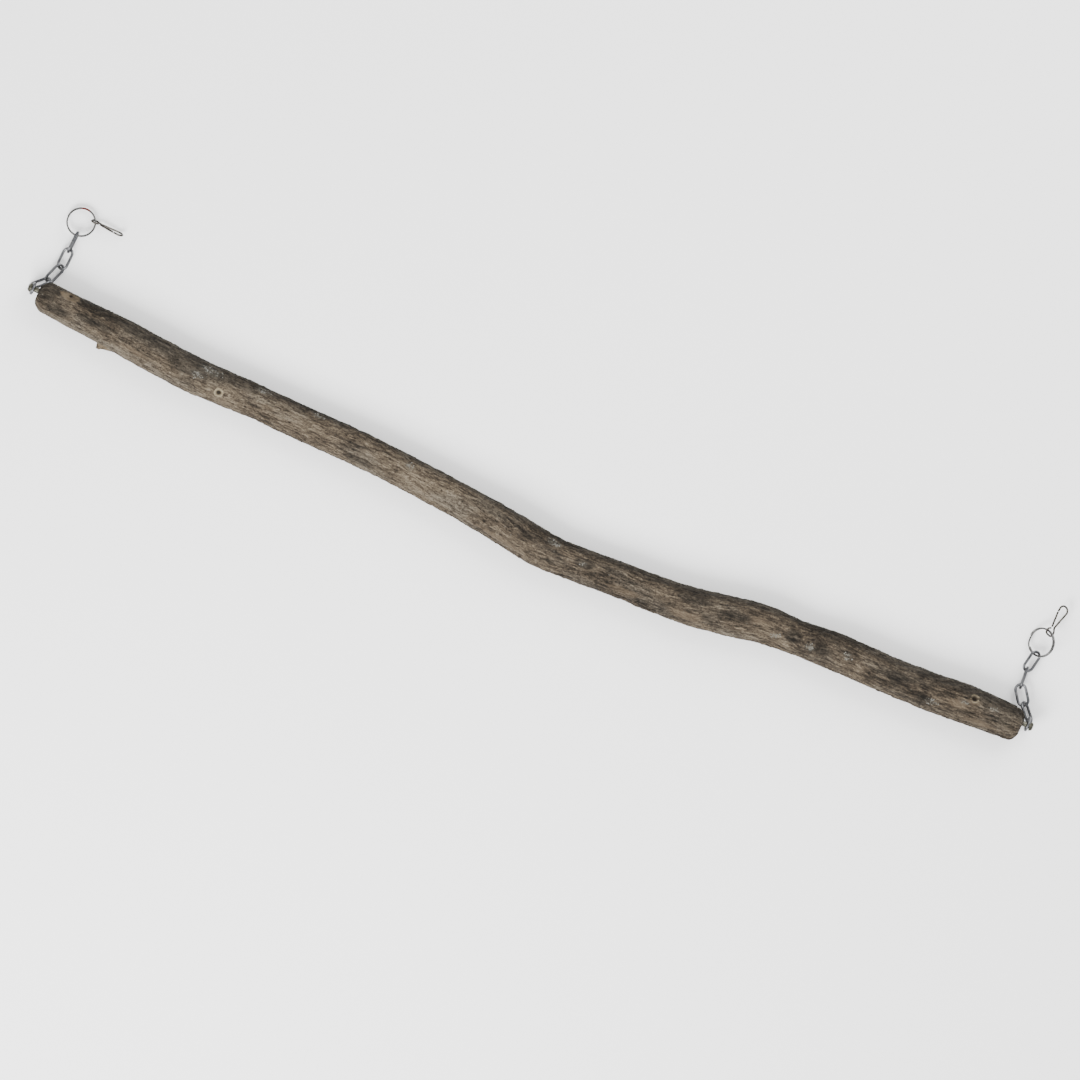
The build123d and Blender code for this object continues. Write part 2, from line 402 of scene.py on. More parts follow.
# %% [markdown]
# Marks on the bark are placed one by one from the photograph: knots, holes, lichen, patches rubbed smooth
# and dark weathered blotches. Each is a soft dome on the surface, 1 in its middle and 0 at its rim. The finish
# adds noise to the domes, which gives them ragged edges. An angle of 0 is straight up, and a positive one
# leans towards the chains.

# %% Branch: places of the marks
millimetre = 0.001
row_steps = np.sqrt(np.diff(row_x) ** 2 + np.diff(row_y) ** 2 + np.diff(row_z) ** 2)
along_line = np.concatenate([[0], np.cumsum(row_steps)])


def wrapped(angle):
    return (angle + math.pi) % (2 * math.pi) - math.pi


def lean_at(x, y):
    middle_y = middle_at(x)[0]
    radius = np.interp(x, row_x, branch_radius)
    return math.asin(max(-1.0, min(1.0, (y - middle_y) / radius)))


def offsets(x, lean):
    """How far each grid point is from a place on the surface, along the branch and round it, in metres."""
    radius = np.interp(x, row_x, branch_radius)
    along = along_line - np.interp(x, row_x, along_line)
    return along[:, None], radius * wrapped(angles - lean)[None, :]


def dome(x, lean, length, width):
    along, across = offsets(x, lean)
    return np.clip(1 - (along / length) ** 2 - (across / width) ** 2, 0, 1)


def gather(marks):
    """The highest of several domes. A mark is its x, its y seen from above, its half length and half width."""
    total = np.zeros((rows, columns))
    for x, y, length, width in marks:
        x, y, length, width = (value * millimetre for value in (x, y, length, width))
        total = np.maximum(total, dome(x, lean_at(x, y), length, width))
    return total


rubbed_marks = [
    (172, -64, 26, 9),
    (236, -41, 16, 7),
    (302, -57, 12, 5),
    (437, -38, 16, 8),
    (462, -47, 26, 6),
    (450, -31, 10, 6),
    (-300, -54, 12, 5),
    (-452, -50, 46, 8),
    (-262, -42, 14, 5),
    (-395, -44, 30, 5),
    (-20, -67, 40, 5),
    (110, -66, 30, 6),
]
blotch_marks = [
    (-345, -38, 30, 8),
    (68, -57, 13, 7),
    (376, -38, 16, 8),
    (272, -42, 11, 9),
    (301, -42, 11, 9),
    (-205, -62, 34, 6),
    (-165, -54, 20, 5),
    (174, -46, 22, 8),
    (215, -46, 24, 5),
    (404, -46, 10, 7),
    (-440, -34, 26, 6),
    (-492, -26, 12, 11),
    (-478, -38, 18, 7),
]
lichen_marks = [
    (-323, -31, 14, 7),
    (-333, -40, 9, 5),
    (-270, -29, 10, 5),
    (-215, -30, 7, 4),
    (-118, -39, 7, 5),
    (34, -50, 10, 5),
    (66, -58, 5, 3),
    (256, -48, 5, 3),
    (290, -45, 7, 5),
    (326, -39, 6, 5),
    (414, -46, 8, 4),
    (442, -34, 7, 3),
    (470, -29, 6, 3),
]
rubbed = gather(rubbed_marks)
blotch = gather(blotch_marks)
lichen = gather(lichen_marks)
print(len(rubbed_marks), "rubbed,", len(blotch_marks), "blotches and", len(lichen_marks), "lichen marks")

# %% [markdown]
# The side towards the chains is almost black: partly weathered bark and partly painted shade. How far that
# band comes over the top changes along the branch, so its edge is a line of angles read along the photograph.
# The black fades again towards the underside, and a thin weaker band of painted shade darkens the opposite
# edge.

# %% Branch: dark side, weathered and with painted shade
band_edge_points = [
    # x in millimetres, angle in degrees
    (-500, 30),
    (-456, 28),
    (-380, 21),
    (-345, 15),
    (-300, 21),
    (-250, 42),
    (-150, 54),
    (-20, 51),
    (60, 41),
    (150, 37),
    (175, 22),
    (198, 42),
    (260, 49),
    (300, 39),
    (380, 38),
    (430, 28),
    (500, 30),
]
band_edge_x, band_edge_angle = np.array(band_edge_points, float).T
band_edge = np.interp(row_x, band_edge_x * millimetre, band_edge_angle)[:, None]
band_fade_before = 30
band_fade_after = 26
underside_fade = 0.7
lower_edge_strength = 0.55
degrees = np.degrees(angles)[None, :]


def eased(value, low, high):
    share = np.clip((value - low) / (high - low), 0, 1)
    return share * share * (3 - 2 * share)


underside = underside_fade * eased(degrees, 105, 160)
# The dark band on the side towards the chains is partly weathered bark and partly painted shade
upper_side = eased(degrees, band_edge - band_fade_before, band_edge + band_fade_after) * (1 - underside)
# The thin dark band on the opposite edge is painted shade
lower_edge_shade = lower_edge_strength * eased(-degrees, 66, 84) * (1 - eased(-degrees, 100, 140))
weathering_and_shade = np.maximum(upper_side, lower_edge_shade)
print(f"weathered share {weathering_and_shade.mean():.2f}")

# %% [markdown]
# A knot has a raised rim and a hollow, and its rim may be pale. These are heights that are added to the
# skin and marks that the finish reads. Bark streaks bend round a knot, so the pattern's angle is squeezed
# there.

# %% Branch: relief of the knots
pit_floor = 0.55  # shares of a hole's radius, where its floor ends and where its wall ends
pit_wall = 1.25
rim_width = 0.4  # shares of the radius of a rim
pale_inside = 0.95
pale_outside = 1.4
pull_along = 4.2
pull_across = 2.6
dark_inside = 0.7  # shares of the radius of a hole
dark_outside = 1.6


def ring_height(distance, radius, width, height):
    return height * np.exp(-(((distance - radius) / width) ** 2))


def pit_depth(distance, radius, depth):
    return -depth * (1 - eased(distance, pit_floor * radius, pit_wall * radius))


relief = np.zeros((rows, columns))
pale_wood = np.zeros((rows, columns))
knot_rim = np.zeros((rows, columns))
hole = np.zeros((rows, columns))
pattern_angle = np.broadcast_to(angles, (rows, columns)).copy()

knots = [
    # x, y, rim radius, rim height, hole radius, hole depth, pale rim, squeeze
    (-308.3, -47.7, 3.7, 0.5, 2.1, 2.0, 1.0, 0.45),
    (449.5, -27.0, 4.1, 0.4, 2.4, 2.2, 0.37, 0.45),
    (287.0, -41.0, 6.0, 0.7, 1.3, 0.8, 0.1, 0.45),
    (-42.4, -64.0, 1.9, 0.1, 1.2, 1.4, 0.0, 0.3),
    (-236.3, -46.7, 1.9, 0.1, 1.0, 1.2, 0.0, 0.3),
    (-58.0, -53.0, 5.0, 0.3, 0.4, 0.2, 0.0, 0.35),
]
for *sizes, paleness, squeeze in knots:
    x, y, rim, rim_height, pit, depth = (value * millimetre for value in sizes)
    lean = lean_at(x, y)
    along, across = offsets(x, lean)
    away = np.sqrt(along**2 + across**2)
    relief += ring_height(away, rim, rim_width * rim, rim_height) + pit_depth(away, pit, depth)
    knot_rim = np.maximum(knot_rim, paleness * (1 - eased(away, pale_inside * rim, pale_outside * rim)))
    hole = np.maximum(hole, 1 - eased(away, dark_inside * pit, dark_outside * pit))
    pull = squeeze * np.exp(-((along / (pull_along * rim)) ** 2) - (across / (pull_across * rim)) ** 2)
    pattern_angle -= wrapped(pattern_angle - lean) * pull
print(len(knots), "knots and small holes")

# %% [markdown]
# Near the left end a twig was cut off flush, which leaves an oval of pale wood with a small hole. Further
# right a branch was lost long ago, and the bark has closed over it in a swelling with dark rings.

# %% Branch: flush-cut twig and scar
cut_x = -0.47
cut_lean = math.radians(43)
cut_half_length = 0.0125
cut_half_width = 0.0054
cut_paleness = 0.75
cut_hole_shift = 0.0008
cut_hole_radius = 0.0015
cut_hole_depth = 0.0018
cut_hole_dark = (0.0011, 0.0024)  # radius of the full dark, and radius where it ends

cut_along, cut_across = offsets(cut_x, cut_lean)
cut_away = np.sqrt((cut_along / cut_half_length) ** 2 + (cut_across / cut_half_width) ** 2)
cut_face = 1 - eased(cut_away, 0.60, 1.15)
pale_wood = np.maximum(pale_wood, cut_paleness * cut_face)
cut_hole_away = np.sqrt(cut_along**2 + (cut_across - cut_hole_shift) ** 2)
relief += pit_depth(cut_hole_away, cut_hole_radius, cut_hole_depth)
hole = np.maximum(hole, 1 - eased(cut_hole_away, *cut_hole_dark))

scar_x = 0.287
scar_lean = lean_at(scar_x, -0.041)
scar_height = 0.0012
scar_half_length = 0.017
scar_half_width = 0.011
scar_squash = 1.2
scar_rings = (0.0040, 0.0080, 0.0112)
scar_ring_width = 0.0008
scar_ring_dark = 0.55

relief += scar_height * dome(scar_x, scar_lean, scar_half_length, scar_half_width)
scar_along, scar_across = offsets(scar_x, scar_lean)
scar_away = np.sqrt(scar_along**2 + (scar_squash * scar_across) ** 2)
for scar_ring in scar_rings:
    hole = np.maximum(hole, ring_height(scar_away, scar_ring, scar_ring_width, scar_ring_dark))
print(f"flush cut at x {cut_x} m and scar at x {scar_x} m")

# %% [markdown]
# The broken twig is in the CAD model as a short stub. On the real branch its foot falls away gently towards
# the middle of the branch and steeply towards the end, so a ramp is added wherever it is higher than the
# stub.

# %% Branch: foot of the broken twig
spur_x = -0.4285
spur_lean = -math.pi / 2
spur_height = 0.0042
spur_slope = 0.0150
spur_flank = 0.0028
spur_half_width = 0.0044
spur_face_shift = 0.003
spur_face_stretch = 1.7
spur_face_edge = (0.0042, 0.0078)  # radius of the full pale wood, and radius where it ends

spur_along, spur_across = offsets(spur_x, spur_lean)
spur_run = np.where(spur_along > 0, spur_along / spur_slope, -spur_along / spur_flank)
spur_ramp = spur_height * np.clip(1 - spur_run, 0, 1) * np.exp(-((spur_across / spur_half_width) ** 2))
relief += np.maximum(spur_ramp - raised, 0)
spur_away = np.sqrt(((spur_along - spur_face_shift) / spur_face_stretch) ** 2 + spur_across**2)
spur_face = 1 - eased(spur_away, *spur_face_edge)
pale_wood = np.maximum(pale_wood, spur_face)
rubbed = np.maximum(rubbed, np.maximum(cut_face, spur_face))
print(f"relief from {relief.min() * 1000:.2f} to {relief.max() * 1000:.2f} mm")

# %% [markdown]
# The grid becomes one closed mesh: rows of quads, and on each end a few rings that close on a middle point.
# Every mark is stored as an attribute of the mesh, and so is each point's place on the branch as if the
# branch were straight, which lets noise follow the wood instead of the room.

# %% Branch: points of the skin
points = []
mark_grids = {
    "rubbed": rubbed,
    "blotch": blotch,
    "lichen": lichen,
    "weathering_and_shade": weathering_and_shade,
    "pale_wood": pale_wood,
    "knot_rim": knot_rim,
    "hole": hole,
    "relief": relief,
    "end_grain": np.zeros((rows, columns)),
}
sawn_marks = {"rubbed": 1.0, "end_grain": 1.0}
attributes = {name: [] for name in mark_grids}
wood_place = []
pattern_radius = 0.0175
cap_shares = [0.97, 0.72, 0.44, 0.18]


def add_ring(x, y, z, radii, row, sawn):
    for j in range(columns):
        points.append((x, y + radii[j] * math.sin(angles[j]), z + radii[j] * math.cos(angles[j])))
        turned = pattern_angle[row, j]
        depth = pattern_radius * (radii[j] / branch_radius[row] if sawn else 1.0)
        wood_place.append((along_line[row], depth * math.sin(turned), depth * math.cos(turned)))
        for name, grid in mark_grids.items():
            attributes[name].append(sawn_marks.get(name, 0.0) if sawn else grid[row, j])


for share in reversed(cap_shares):
    add_ring(-half_length, row_y[0], row_z[0], skin_reach[0] * share, 0, sawn=True)
for i in range(rows):
    add_ring(row_x[i], row_y[i], row_z[i], skin_reach[i], i, sawn=False)
for share in cap_shares:
    add_ring(half_length, row_y[-1], row_z[-1], skin_reach[-1] * share, rows - 1, sawn=True)
ring_count = len(points) // columns
print(f"{ring_count} rings of {columns} points")

# %% Branch: faces and attributes of the skin
faces = []
for i in range(ring_count - 1):
    for j in range(columns):
        k = (j + 1) % columns
        faces.append((i * columns + j, i * columns + k, (i + 1) * columns + k, (i + 1) * columns + j))
for x, row, ring, flip in ((-half_length, 0, 0, True), (half_length, rows - 1, ring_count - 1, False)):
    middle_index = len(points)
    points.append((x, row_y[row], row_z[row]))
    wood_place.append((along_line[row], 0.0, 0.0))
    for name in attributes:
        attributes[name].append(sawn_marks.get(name, 0.0))
    for j in range(columns):
        near = ring * columns + j
        far = ring * columns + (j + 1) % columns
        faces.append((middle_index, far, near) if flip else (middle_index, near, far))

skin_mesh = bpy.data.meshes.new("branch_bark")
skin_mesh.from_pydata(points, [], faces)
for name, values in attributes.items():
    layer = skin_mesh.attributes.new(name, "FLOAT", "POINT")
    layer.data.foreach_set("value", np.array(values, np.float32))
place_layer = skin_mesh.attributes.new("wood_place", "FLOAT_VECTOR", "POINT")
place_layer.data.foreach_set("vector", np.array(wood_place, np.float32).ravel())
skin_mesh.update()

skin_solid = bmesh.new()
skin_solid.from_mesh(skin_mesh)
volume = skin_solid.calc_volume(signed=True)
skin_solid.free()
if volume < 0:
    skin_mesh.flip_normals()
branch_bark = bpy.data.objects.new("branch_bark", skin_mesh)
scene.collection.objects.link(branch_bark)
print(f"skin volume {volume * 1e6:.0f} cm3, {len(faces)} faces")

# %% [markdown]
# Bark on this branch is fibrous: long narrow ridges that run with the wood, split by dark cracks, with
# small flakes on them. As this is a rule over a surface, it is a Geometry Nodes tree, and its sizes are
# inputs that can be changed on the modifier. The tree starts from the stored place on the wood. Slow noise
# makes that place sway, so that nothing runs dead straight, and it is then stretched along the wood.

# %% Bark: the relief tree and its stretched place
bark_inputs = {
    "Streak length": 0.014,
    "Streak width": 0.0031,
    "Ridge height": 0.0010,
    "Crack depth": 0.0009,
    "Flake height": 0.0010,
    "Lump size": 0.024,
    "Lump height": 0.0008,
    "Wander": 0.0050,
    "Seed": 3.0,
}
seed_stride = 7.31


def new_shape_tree(name, inputs):
    """A Geometry Nodes tree with named inputs, and the identifiers by which a modifier sets them."""
    tree = bpy.data.node_groups.new(name, "GeometryNodeTree")
    for direction in ("INPUT", "OUTPUT"):
        tree.interface.new_socket("Geometry", in_out=direction, socket_type="NodeSocketGeometry")
    identifiers = {}
    for label, value in inputs.items():
        kind = "NodeSocketInt" if isinstance(value, int) else "NodeSocketFloat"
        socket = tree.interface.new_socket(label, in_out="INPUT", socket_type=kind)
        identifiers[label] = socket.identifier
    return tree, identifiers


def stored(tree, name, kind="FLOAT"):
    return shown(add(tree, "GeometryNodeInputNamedAttribute", {"Name": name}, data_type=kind))


def scaled(tree, direction, size):
    return add(tree, "ShaderNodeVectorMath", {0: direction, "Scale": size}, operation="SCALE").outputs[0]


bark, bark_ids = new_shape_tree("bark_relief", bark_inputs)
given = add(bark, "NodeGroupInput").outputs
seed_shift = add(bark, "ShaderNodeCombineXYZ", {0: number(bark, "MULTIPLY", given["Seed"], seed_stride)})
place = vector(bark, "ADD", stored(bark, "wood_place", "FLOAT_VECTOR"), seed_shift.outputs[0])
crooked = vector(bark, "ADD", place, scaled(bark, sway(bark, place, 48.0), given["Wander"]))
across_scale = number(bark, "DIVIDE", 1.0, given["Streak width"])
along_scale = number(bark, "DIVIDE", 1.0, given["Streak length"])
scales = add(bark, "ShaderNodeCombineXYZ", {0: along_scale, 1: across_scale, 2: across_scale})
stretched = vector(bark, "MULTIPLY", crooked, scales.outputs[0])
print(len(bark_inputs), "inputs for the bark")

# %% [markdown]
# Noise on the stretched place gives the ridges. A crack is a line where another stretched noise passes its
# middle value, which makes long lines that wander and fork. Cracks gather in patches, and rubbed wood has
# hardly any of this relief.


# %% Bark: ridges, cracks and flakes
def middle_line(tree, value, width):
    """1 where a noise passes its middle value, falling to 0 at a width to either side."""
    away = number(tree, "ABSOLUTE", number(tree, "SUBTRACT", value, 0.5))
    return spread(tree, away, 0.0, width, 1.0, 0.0)


long_cracks = middle_line(bark, noise(bark, stretched, scale=0.62, detail=3.0, roughness=0.55), width=0.045)
shifted_place = vector(bark, "ADD", stretched, (9.0, 4.0, 2.0))
short_cracks = middle_line(bark, noise(bark, shifted_place, scale=1.15), width=0.05)
cracks = number(bark, "MAXIMUM", long_cracks, number(bark, "MULTIPLY", short_cracks, 0.7))
patchy = spread(bark, noise(bark, place, scale=38.0), 0.36, 0.60, 0.25, 1.0)
crack_share = number(bark, "MULTIPLY", cracks, patchy)
ridges = noise(bark, stretched, scale=1.1, detail=4.0, roughness=0.62)
flakes = noise(bark, vector(bark, "MULTIPLY", crooked, (190.0, 480.0, 480.0)), scale=1.0)
lumps = noise(bark, place, scale=number(bark, "DIVIDE", 1.0, given["Lump size"]))
smooth_share = number(bark, "MULTIPLY", stored(bark, "rubbed"), 0.9)
bark_share = number(bark, "SUBTRACT", 1.0, smooth_share, clamp=True)
print("relief tree has", len(bark.nodes), "nodes so far")

# %% [markdown]
# The parts are added up to one height, and each point moves out or in by it. The tree also stores how deep
# the cracks are and where the ridges lie, so that the finish can follow them.


# %% Bark: add up the height and move the skin
def swing(tree, value, height):
    """A noise as a height to both sides of nought."""
    size = number(tree, "MULTIPLY", height, 2.0)
    return number(tree, "MULTIPLY", number(tree, "SUBTRACT", value, 0.5), size)


def store(tree, geometry, name, value):
    inputs = {"Geometry": geometry, "Name": name}
    node = add(tree, "GeometryNodeStoreNamedAttribute", inputs, data_type="FLOAT", domain="POINT")
    value_socket = next(socket for socket in node.inputs if socket.name == "Value" and socket.enabled)
    feed(tree, value_socket, value)
    return node.outputs[0]


ridge_part = swing(bark, ridges, given["Ridge height"])
flake_part = swing(bark, flakes, given["Flake height"])
crack_part = number(bark, "MULTIPLY", crack_share, given["Crack depth"])
rough_part = number(bark, "SUBTRACT", number(bark, "ADD", ridge_part, flake_part), crack_part)
bark_part = number(bark, "MULTIPLY", rough_part, bark_share)
lump_part = swing(bark, lumps, given["Lump height"])
kept_lump = number(bark, "MULTIPLY", lump_part, number(bark, "SUBTRACT", 1.0, stored(bark, "end_grain")))
height = number(bark, "ADD", number(bark, "ADD", bark_part, kept_lump), stored(bark, "relief"))

outward = add(bark, "GeometryNodeInputNormal").outputs[0]
moved_inputs = {"Geometry": given["Geometry"], "Offset": scaled(bark, outward, height)}
moved = add(bark, "GeometryNodeSetPosition", moved_inputs).outputs[0]
cracked = store(bark, moved, "crack", number(bark, "MULTIPLY", crack_share, bark_share))
bark_geometry = store(bark, cracked, "ridge", ridges)
print("relief tree has", len(bark.nodes), "nodes")

# %% [markdown]
# The finish of the bark works from the same place on the wood. Fine streaks of noise run from crack brown
# through grey to pale tan. Several noises from fine to broad are added up to one tone, cracks and pits make
# it darker, and a ramp turns it into colour. A second, greyer ramp takes over in patches.

# %% Bark: streaks and plates
bark_finish, look, bark_shader = new_finish("bark_finish")


def mark(name):
    return add(look, "ShaderNodeAttribute", attribute_name=name).outputs["Fac"]


straight_spot = add(look, "ShaderNodeAttribute", attribute_name="wood_place").outputs["Vector"]
sideways = vector(look, "MULTIPLY", sway(look, straight_spot, 62.0), (0.0, 0.005, 0.005))
wood_spot = vector(look, "ADD", straight_spot, sideways)


def grain(along, across, detail, roughness):
    """Noise that is stretched along the wood."""
    inputs = {"Vector": wood_spot, "Scale": (along, across, across)}
    place = add(look, "ShaderNodeMapping", inputs, vector_type="POINT").outputs[0]
    return noise(look, place, 1.0, detail, roughness)


streaks = grain(72.0, 540.0, detail=4.0, roughness=0.62)
fibres = grain(330.0, 1100.0, detail=3.0, roughness=0.6)
specks = grain(640.0, 800.0, detail=2.0, roughness=0.5)
mottle = grain(24.0, 64.0, detail=4.0, roughness=0.6)
broad = grain(8.0, 30.0, detail=2.0, roughness=0.5)


def total(*parts):
    """Half, and for each noise its distance from the middle times a weight."""
    result = 0.5
    for value, weight in parts:
        share = number(look, "MULTIPLY", number(look, "SUBTRACT", value, 0.5), weight)
        result = number(look, "ADD", share, result)
    return result


fine_tone = total((streaks, 1.15), (fibres, 0.62), (specks, 0.4), (mark("ridge"), 0.4))
light_tone = number(look, "ADD", fine_tone, total((mottle, 0.55), (broad, 0.62)))
pits = number(look, "ADD", mark("crack"), spread(look, specks, 0.28, 0.40, 1.3, 0.0))
tone_drop = number(look, "ADD", number(look, "MULTIPLY", pits, 0.15), 0.46)
tone = number(look, "SUBTRACT", light_tone, tone_drop)
brown_bark = colour_ramp(
    look,
    tone,
    (0.16, 40, 34, 27),
    (0.36, 80, 70, 57),
    (0.50, 113, 99, 82),
    (0.64, 144, 128, 106),
    (0.86, 192, 175, 150),
)
grey_bark = colour_ramp(look, tone, (0.2, 44, 42, 38), (0.5, 99, 95, 86), (0.85, 168, 163, 151))
grey_share = spread(look, grain(19.0, 52.0, detail=3.0, roughness=0.55), 0.44, 0.66, 0.0, 0.32)
bark_colour = blend_colour(look, grey_share, brown_bark, grey_bark)
print("bark finish has", len(look.nodes), "nodes so far")

# %% [markdown]
# The stored marks lie over the bark in this order: first wood that is rubbed smooth, then the black side,
# which is weathering and painted shade together, and blotches, then a dust of lichen. Each mark is mixed with
# streaks and mottle, so its edge frays along the wood.

# %% Bark: marks laid over it
rubbed_noise = total((mark("rubbed"), 0.9), (mottle, 1.1), (streaks, 0.5))
rubbed_share = spread(look, rubbed_noise, 0.42, 0.95, 0.0, 0.8)
rubbed_tone = total((fibres, 1.0), (streaks, 0.6))
rubbed_wood = colour_ramp(look, rubbed_tone, (0.3, 112, 97, 79), (0.5, 138, 120, 98), (0.7, 160, 142, 118))
surface = blend_colour(look, rubbed_share, bark_colour, rubbed_wood)

ragged = total((streaks, 1.3), (mottle, 1.5), (broad, 0.8))
# The dark side mixed in here is weathered bark and painted shade together; the blotches are dark bark
dark_share = spread(look, number(look, "ADD", mark("weathering_and_shade"), ragged), 0.72, 1.45)
blotch_share = spread(look, number(look, "ADD", mark("blotch"), ragged), 0.66, 1.30, 0.0, 0.92)
dark_most = number(look, "MAXIMUM", dark_share, blotch_share)
dark_bark = colour_ramp(look, tone, (0.25, 28, 25, 20), (0.5, 60, 53, 43), (0.8, 110, 100, 86))
surface = blend_colour(look, number(look, "MULTIPLY", dark_most, 0.87), surface, dark_bark)

dust = noise(look, straight_spot, scale=480.0, detail=3.0, roughness=0.6)
dust_patch = number(look, "ADD", number(look, "MULTIPLY", mark("lichen"), 0.2), dust)
haze_share = number(look, "MULTIPLY", mark("lichen"), 0.22)
surface = blend_colour(look, haze_share, surface, seen_colour(134, 131, 121))
dust_share = spread(look, dust_patch, 0.67, 0.77, 0.0, 0.7)
surface = blend_colour(look, dust_share, surface, seen_colour(170, 166, 154))
print("bark finish has", len(look.nodes), "nodes so far")

# %% [markdown]
# Cut wood and the sawn ends show growth rings, which are a sine of the distance from the pith with a
# wobble. Knots have a pale rim that the streaks break up. Holes come last, because they are dark whatever
# lies round them.

# %% Bark: cut wood, end grain, knots and holes
ring_turn = 3900.0  # radians of the sine for each metre from the pith
wood_parts = add(look, "ShaderNodeSeparateXYZ", {0: wood_spot}).outputs
across_wood = add(look, "ShaderNodeCombineXYZ", {1: wood_parts[1], 2: wood_parts[2]}).outputs[0]
from_pith = add(look, "ShaderNodeVectorMath", {0: across_wood}, operation="LENGTH").outputs["Value"]
ring_wobble = number(look, "MULTIPLY", noise(look, wood_spot, scale=90.0), 0.003)
ring_phase = number(look, "MULTIPLY", number(look, "ADD", from_pith, ring_wobble), ring_turn)
growth_rings = number(look, "ADD", number(look, "MULTIPLY", number(look, "SINE", ring_phase), 0.2), 0.5)
sawn_tone = number(look, "ADD", growth_rings, number(look, "SUBTRACT", fibres, 0.5))
sawn_wood = colour_ramp(look, sawn_tone, (0.2, 102, 88, 69), (0.5, 146, 127, 101), (0.8, 172, 153, 125))
cut_noise = total((mark("pale_wood"), 1.0), (mottle, 1.4), (streaks, 0.8))
cut_share = spread(look, cut_noise, 0.3, 0.7, 0.0, 0.88)
cut_share = number(look, "MULTIPLY", cut_share, spread(look, mark("pale_wood"), 0.0, 0.3))
surface = blend_colour(look, number(look, "MAXIMUM", cut_share, mark("end_grain")), surface, sawn_wood)

rim_colour = colour_ramp(look, fibres, (0.3, 176, 157, 124), (0.65, 214, 198, 166))
rim_noise = number(look, "MULTIPLY", number(look, "SUBTRACT", streaks, 0.5), 1.4)
rim_share = spread(look, number(look, "ADD", mark("knot_rim"), rim_noise), 0.12, 0.60)
rim_share = number(look, "MULTIPLY", rim_share, spread(look, mark("knot_rim"), 0.0, 0.35))
surface = blend_colour(look, rim_share, surface, rim_colour)
hole_share = number(look, "MULTIPLY", mark("hole"), 0.95)
surface = blend_colour(look, hole_share, surface, seen_colour(44, 33, 23))
look.links.new(surface, bark_shader.inputs["Base Color"])

bark_shader.inputs["Specular IOR Level"].default_value = 0.22
look.links.new(spread(look, tone, 0.2, 0.8, 0.96, 0.8), bark_shader.inputs["Roughness"])
streak_part = number(look, "MULTIPLY", streaks, 0.7)
grain_height = number(look, "ADD", streak_part, number(look, "MULTIPLY", fibres, 0.3))
bump = add(look, "ShaderNodeBump", {"Height": grain_height, "Strength": 0.75, "Distance": 0.0011})
look.links.new(bump.outputs[0], bark_shader.inputs["Normal"])
print("bark finish has", len(look.nodes), "nodes")

# %% [markdown]
# With its finish made, the relief tree is closed and put on the branch as a modifier. The result is kept as
# a plain mesh and the modifier is taken off, so that the bark rides on the branch like any other mesh. It
# takes the place of the smooth branch of the CAD model.


# %% Bark: put the tree on the branch and keep the result
def close_tree(tree, geometry, finish):
    """The end of a tree: instances become real, get their finish and go out."""
    whole = add(tree, "GeometryNodeRealizeInstances", {0: geometry}).outputs[0]
    dressed = add(tree, "GeometryNodeSetMaterial", {"Geometry": whole, "Material": finish}).outputs[0]
    tree.links.new(dressed, add(tree, "NodeGroupOutput").inputs[0])


def grown(source, tree, values, identifiers, name):
    """The mesh that a tree makes of an object, as a plain mesh of its own."""
    modifier = source.modifiers.new(tree.name, "NODES")
    modifier.node_group = tree
    for label, value in values.items():
        modifier[identifiers[label]] = value
    graph = bpy.context.evaluated_depsgraph_get()
    mesh = bpy.data.meshes.new_from_object(source.evaluated_get(graph), depsgraph=graph)
    source.modifiers.remove(modifier)
    mesh.name = name
    return mesh


close_tree(bark, bark_geometry, bark_finish)
bark_mesh = grown(branch_bark, bark, bark_inputs, bark_ids, "branch_bark")
branch_bark.data = bark_mesh
bark_mesh.shade_smooth()
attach(branch_bark, "branch")
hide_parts("branch")
print(len(bark_mesh.polygons), "faces on the bark")

# %% [markdown]
# Lichen grows on the bark in small pale crusts. Up close they are chalky, with greyer hollows, so the
# finish is a matt grey with noise and no shine.

# %% Lichen: finish
lichen_finish, lichen_look, lichen_shader = new_finish("lichen_finish")
lichen_spot = add(lichen_look, "ShaderNodeTexCoord").outputs["Object"]
lichen_tone = noise(lichen_look, lichen_spot, scale=520.0, detail=4.0, roughness=0.65)
lichen_stops = [(0.3, 126, 124, 115), (0.5, 178, 175, 165), (0.7, 216, 213, 204)]
lichen_colour = colour_ramp(lichen_look, lichen_tone, *lichen_stops)
lichen_look.links.new(lichen_colour, lichen_shader.inputs["Base Color"])
lichen_shader.inputs["Roughness"].default_value = 0.95
lichen_shader.inputs["Specular IOR Level"].default_value = 0.15
print("lichen finish has", len(lichen_look.nodes), "nodes")

# %% [markdown]
# A crust is made of overlapping scales. Points are scattered where the lichen marks are strong and a noise
# gathers them in clumps. A flat lens-shaped scale is set on each, with the surface and sized at random from
# a fixed seed.

# %% Lichen: scatter scales on the marks
lichen_inputs = {
    "Scales on a square metre": 1500000.0,
    "Least size": 0.0003,
    "Greatest size": 0.0007,
    "Seed": 11,
}
lens_flatness = 0.34

crust, crust_ids = new_shape_tree("lichen_scatter", lichen_inputs)
asked = add(crust, "NodeGroupInput").outputs
bark_spot = add(crust, "GeometryNodeInputPosition").outputs[0]
patch = spread(crust, stored(crust, "lichen"), 0.0, 0.7)
clumps = spread(crust, noise(crust, bark_spot, scale=360.0), 0.58, 0.65)
clump_share = number(crust, "MULTIPLY", patch, clumps)
scatter_inputs = {"Mesh": asked["Geometry"], "Seed": asked["Seed"]}
scatter = add(
    crust, "GeometryNodeDistributePointsOnFaces", scatter_inputs, distribute_method="RANDOM"
)
scale_density = number(crust, "MULTIPLY", clump_share, asked["Scales on a square metre"])
feed(crust, scatter.inputs["Density"], scale_density)

